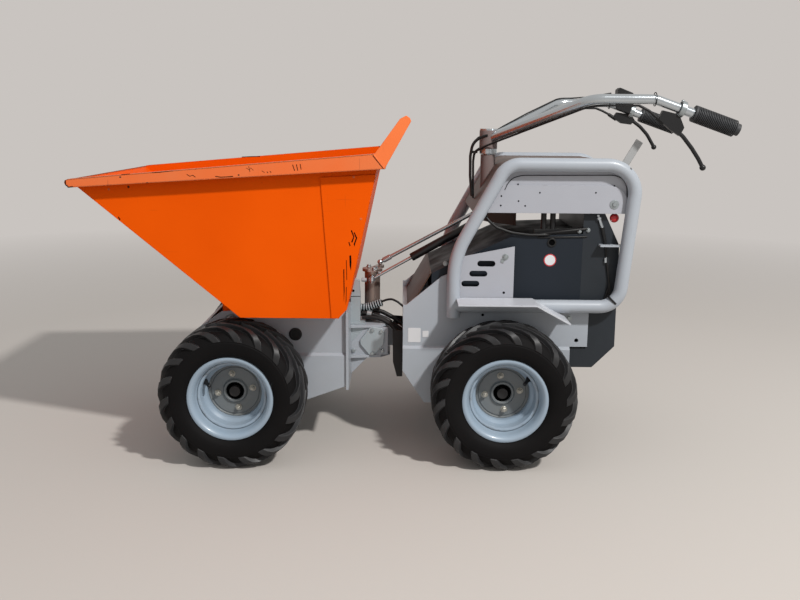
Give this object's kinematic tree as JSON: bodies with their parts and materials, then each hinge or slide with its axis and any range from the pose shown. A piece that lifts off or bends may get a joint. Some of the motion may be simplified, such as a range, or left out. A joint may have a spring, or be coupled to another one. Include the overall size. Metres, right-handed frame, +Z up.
{
  "type": "site dumper",
  "caption": "Walk-behind site dumper: articulated chassis with big lugged tyres, a forward-tipping skip, guard loops over a covered drive and a handlebar on a column.",
  "frame": {"origin": "on the ground, at the middle of the whole length and width", "axes": "+X forward towards the skip's lip, +Y to the machine's left, +Z up"},
  "size_m": [1.7901, 0.79, 1.048],
  "materials": {
    "painted_steel": "light warm grey satin paint",
    "skip_paint": "orange gloss paint, chipped at the edges",
    "tyre_rubber": "black rubber, dusty",
    "rim_paint": "light blue-grey paint",
    "axle_black": "black satin paint",
    "zinc": "zinc plated",
    "bright_steel": "bright chrome",
    "damper_black": "black satin paint",
    "slate_cover": "dark slate gloss",
    "battery_case": "plain black",
    "black_plastic": "black",
    "grip_rubber": "black rubber",
    "lever_steel": "plain grey steel",
    "knob_red": "red"
  },
  "bodies": {
    "rear_frame": {"rear_chassis": "painted_steel", "rear_axle": "axle_black", "pivot_tongue": "painted_steel", "housing_cover": "slate_cover", "rear_cover": "slate_cover", "battery": "battery_case", "guard_loop_left": "painted_steel", "guard_loop_right": "painted_steel", "hood": "painted_steel", "damper_anchor_pin": "zinc", "upper_panel_left": "painted_steel", "upper_panel_right": "painted_steel", "slotted_panel_left": "painted_steel", "slotted_panel_right": "painted_steel", "fender_left": "painted_steel", "fender_right": "painted_steel", "column": "painted_steel", "side_lever": "lever_steel", "stop_knob": "knob_red", "cover_latch": "black_plastic", "front_slope": "painted_steel", "cover_cable": "black_plastic"},
    "front_frame": {"front_chassis": "painted_steel", "front_axle": "axle_black", "pivot_bracket": "painted_steel", "articulation_pin": "zinc", "pivot_covers": "zinc", "steering_post": "bright_steel", "skip_latch": "zinc", "hinge_pins": "zinc", "skip_rests": "grip_rubber"},
    "skip": {"skip_shell": "skip_paint", "skip_rim": "skip_paint", "spill_guard": "skip_paint", "skip_corners": "skip_paint", "skip_hinges": "skip_paint"},
    "handlebar": {"steering_stem": "bright_steel", "handlebar": "bright_steel", "grips": "grip_rubber", "hand_levers": "black_plastic", "switch_box": "black_plastic", "bar_cables": "black_plastic"},
    "steering_rod": {"steering_rod": "bright_steel"},
    "damper_tube": {"damper_tube": "damper_black"},
    "damper_rod": {"damper_rod": "bright_steel"},
    "wheel_front_left": {"tyre_front_left": "tyre_rubber", "rim_front_left": "rim_paint"},
    "wheel_front_right": {"tyre_front_right": "tyre_rubber", "rim_front_right": "rim_paint"},
    "wheel_rear_left": {"tyre_rear_left": "tyre_rubber", "rim_rear_left": "rim_paint"},
    "wheel_rear_right": {"tyre_rear_right": "tyre_rubber", "rim_rear_right": "rim_paint"}
  },
  "joints": [
    {"name": "steer", "type": "hinge", "parent": "rear_frame", "child": "front_frame", "pos_m": [0.1025, 0, 0.293], "axis": [0, 0, 1], "range_deg": [-32, 32]},
    {"name": "handlebar_turn", "type": "hinge", "parent": "rear_frame", "child": "handlebar", "pos_m": [-0.2445, 0, 0.78], "axis": [0, 0, 1], "range_deg": [-32, 32]},
    {"name": "rod_swing", "type": "hinge", "parent": "handlebar", "child": "steering_rod", "pos_m": [-0.2665, -0.062, 0.702], "axis": [0, 0, 1], "range_deg": [-32, 32]},
    {"name": "damper_pitch", "type": "hinge", "parent": "rear_frame", "child": "damper_tube", "pos_m": [-0.2375, 0.062, 0.674], "axis": [0, 1, 0], "range_deg": [-2.5, 2.5]},
    {"name": "damper_slide", "type": "slide", "parent": "damper_tube", "child": "damper_rod", "axis": [0.8708, 0, -0.4917], "range_m": [-0.03, 0.03]},
    {"name": "skip_tip", "type": "hinge", "parent": "front_frame", "child": "skip", "pos_m": [0.5075, 0, 0.386], "axis": [0, 1, 0], "range_deg": [0, 65]},
    {"name": "wheel_front_left_spin", "type": "hinge", "parent": "front_frame", "child": "wheel_front_left", "pos_m": [0.479, 0.3125, 0.203], "axis": [0, 1, 0], "continuous": true},
    {"name": "wheel_front_right_spin", "type": "hinge", "parent": "front_frame", "child": "wheel_front_right", "pos_m": [0.479, -0.3125, 0.203], "axis": [0, 1, 0], "continuous": true},
    {"name": "wheel_rear_left_spin", "type": "hinge", "parent": "rear_frame", "child": "wheel_rear_left", "pos_m": [-0.274, 0.3125, 0.203], "axis": [0, 1, 0], "continuous": true},
    {"name": "wheel_rear_right_spin", "type": "hinge", "parent": "rear_frame", "child": "wheel_rear_right", "pos_m": [-0.274, -0.3125, 0.203], "axis": [0, 1, 0], "continuous": true}
  ],
  "couplings": [
    {"joint": "handlebar_turn", "follows": "steer", "ratio": 1},
    {"joint": "rod_swing", "follows": "steer", "ratio": -1},
    {"joint": "damper_pitch", "follows": "steer", "ratio": 0.0745},
    {"joint": "damper_slide", "follows": "steer", "m_per_rad": -0.0522}
  ]
}
